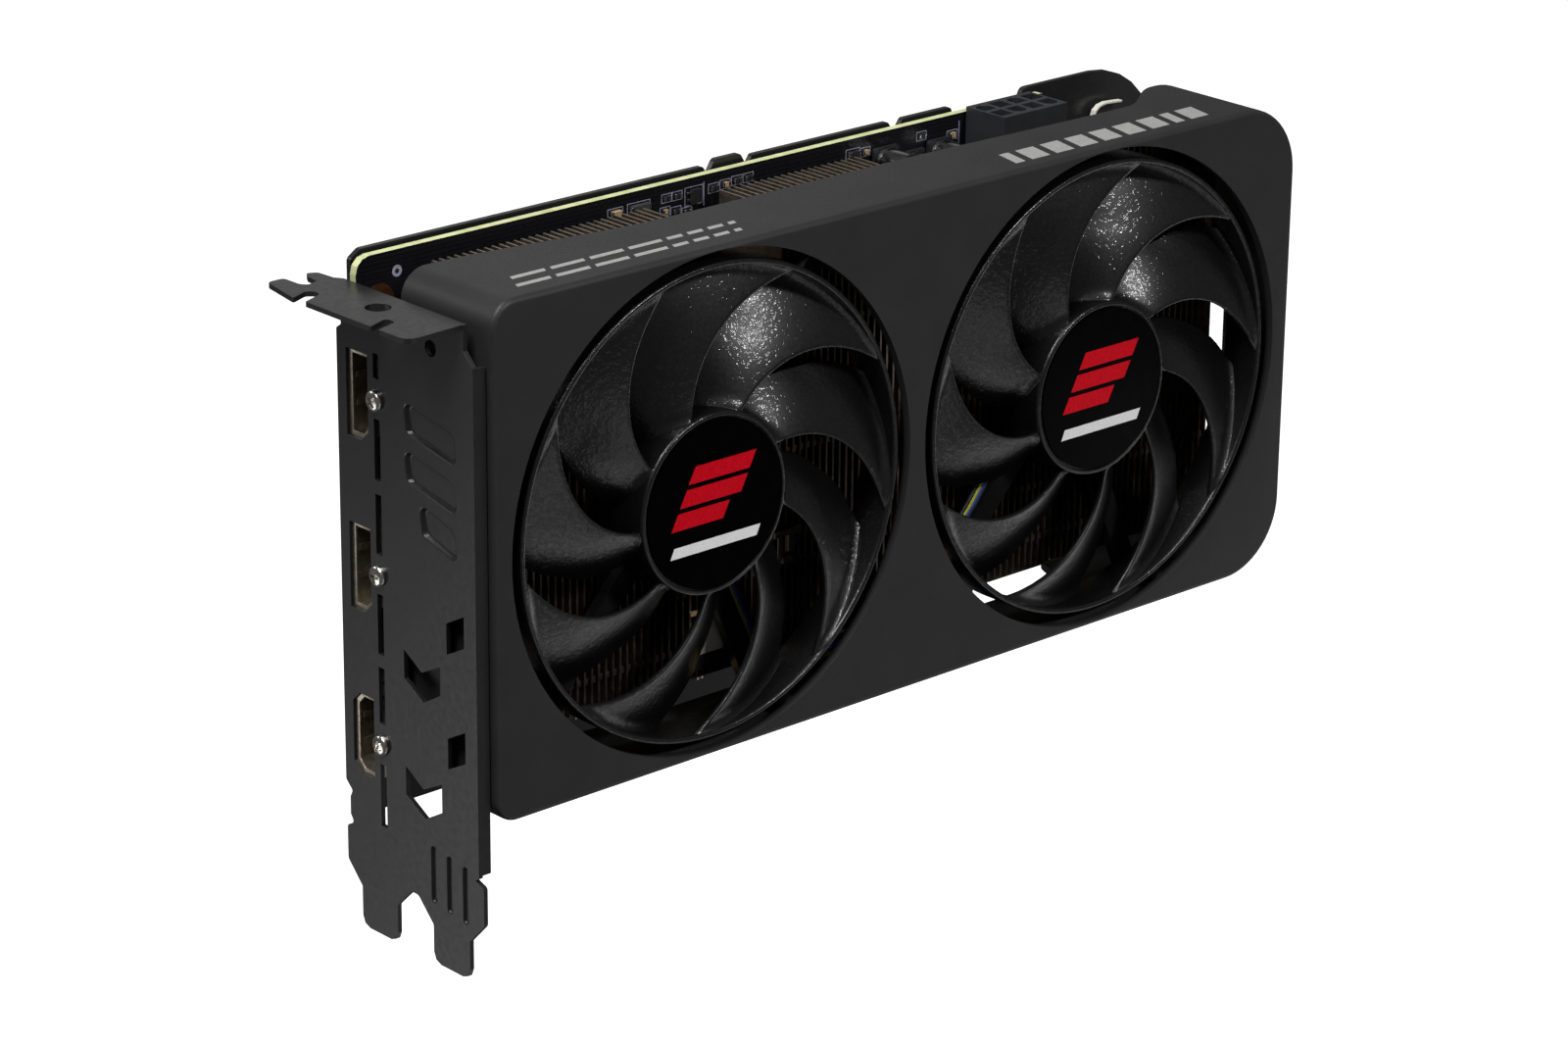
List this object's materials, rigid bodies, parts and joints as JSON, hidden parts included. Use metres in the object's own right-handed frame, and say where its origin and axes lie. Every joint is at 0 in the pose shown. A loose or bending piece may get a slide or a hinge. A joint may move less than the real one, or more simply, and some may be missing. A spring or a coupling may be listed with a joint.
{
  "type": "graphics card",
  "caption": "Two-slot expansion card with a slot bracket, black cooler cover with open ring fans, finned heatsink with heat pipes, circuit board and rear plate.",
  "frame": {"origin": "centre of the bracket plate's outer face", "axes": "+X from the bracket towards the tail of the card, +Y from the fan side to the rear plate, +Z from the edge connector up to the edge with the power connector"},
  "size_m": [0.2132, 0.0441, 0.1253],
  "materials": {
    "black_steel": "satin black powder coat",
    "plated_metal": "bright nickel plate",
    "connector_plastic": "moulded black nylon",
    "cover_plastic": "matte black, fine grain",
    "fan_plastic": "satin black",
    "label_film": "gloss black film",
    "magnet_rubber": "bonded magnet",
    "winding_enamel": "enamelled copper windings",
    "bronze": "sintered bronze",
    "arm_plastic": "matte black",
    "wire_jacket": "coloured wire jackets",
    "board_laminate": "black solder mask",
    "silicon": "polished silicon",
    "chip_resin": "moulded black resin",
    "pad_silicone": "soft grey pad",
    "ferrite": "dark grey moulded powder",
    "can_aluminium": "satin",
    "fin_aluminium": "thin pressed fins",
    "copper": "bare copper"
  },
  "bodies": {
    "card": {"bracket": "black_steel", "capacitor_1": "can_aluminium", "capacitor_2": "can_aluminium", "capacitor_3": "can_aluminium", "capacitor_4": "can_aluminium", "choke_1": "ferrite", "choke_2": "ferrite", "choke_3": "ferrite", "choke_4": "ferrite", "choke_5": "ferrite", "circuit_board": "board_laminate", "cold_plate": "copper", "cooler_cover": "cover_plastic", "cooler_screw_1": "plated_metal", "cooler_screw_2": "plated_metal", "cooler_screw_3": "plated_metal", "cooler_screw_4": "plated_metal", "fan_bearing_left": "bronze", "fan_bearing_right": "bronze", "fan_frame_left": "arm_plastic", "fan_frame_right": "arm_plastic", "fan_header_left": "connector_plastic", "fan_header_right": "connector_plastic", "fan_lead_left": "wire_jacket", "fan_lead_right": "wire_jacket", "fan_stator_left": "winding_enamel", "fan_stator_right": "winding_enamel", "fin_stack_main": "fin_aluminium", "fin_stack_tail": "fin_aluminium", "gpu_die": "silicon", "gpu_substrate": "board_laminate", "heat_pipe_lower": "copper", "heat_pipe_middle": "copper", "heat_pipe_upper": "copper", "memory_chip_1": "chip_resin", "memory_chip_2": "chip_resin", "memory_chip_3": "chip_resin", "memory_chip_4": "chip_resin", "port_screw_1": "plated_metal", "port_screw_2": "plated_metal", "port_screw_3": "plated_metal", "port_tongue_lower": "connector_plastic", "port_tongue_upper": "connector_plastic", "port_tongue_wide": "connector_plastic", "power_connector": "connector_plastic", "rear_plate": "black_steel", "thermal_pad_side": "pad_silicone", "thermal_pad_top": "pad_silicone", "video_port_lower": "plated_metal", "video_port_upper": "plated_metal", "video_port_wide": "plated_metal"},
    "fan_left": {"fan_rotor_left": "fan_plastic", "fan_label_left": "label_film", "fan_magnet_left": "magnet_rubber", "fan_shaft_left": "plated_metal"},
    "fan_right": {"fan_rotor_right": "fan_plastic", "fan_label_right": "label_film", "fan_magnet_right": "magnet_rubber", "fan_shaft_right": "plated_metal"}
  },
  "joints": [
    {"name": "fan_left_spin", "type": "hinge", "parent": "card", "child": "fan_left", "pos_m": [0.0534, -0.01437, 0.013], "axis": [0, 1, 0], "continuous": true},
    {"name": "fan_right_spin", "type": "hinge", "parent": "card", "child": "fan_right", "pos_m": [0.1502, -0.01437, 0.013], "axis": [0, 1, 0], "continuous": true}
  ]
}
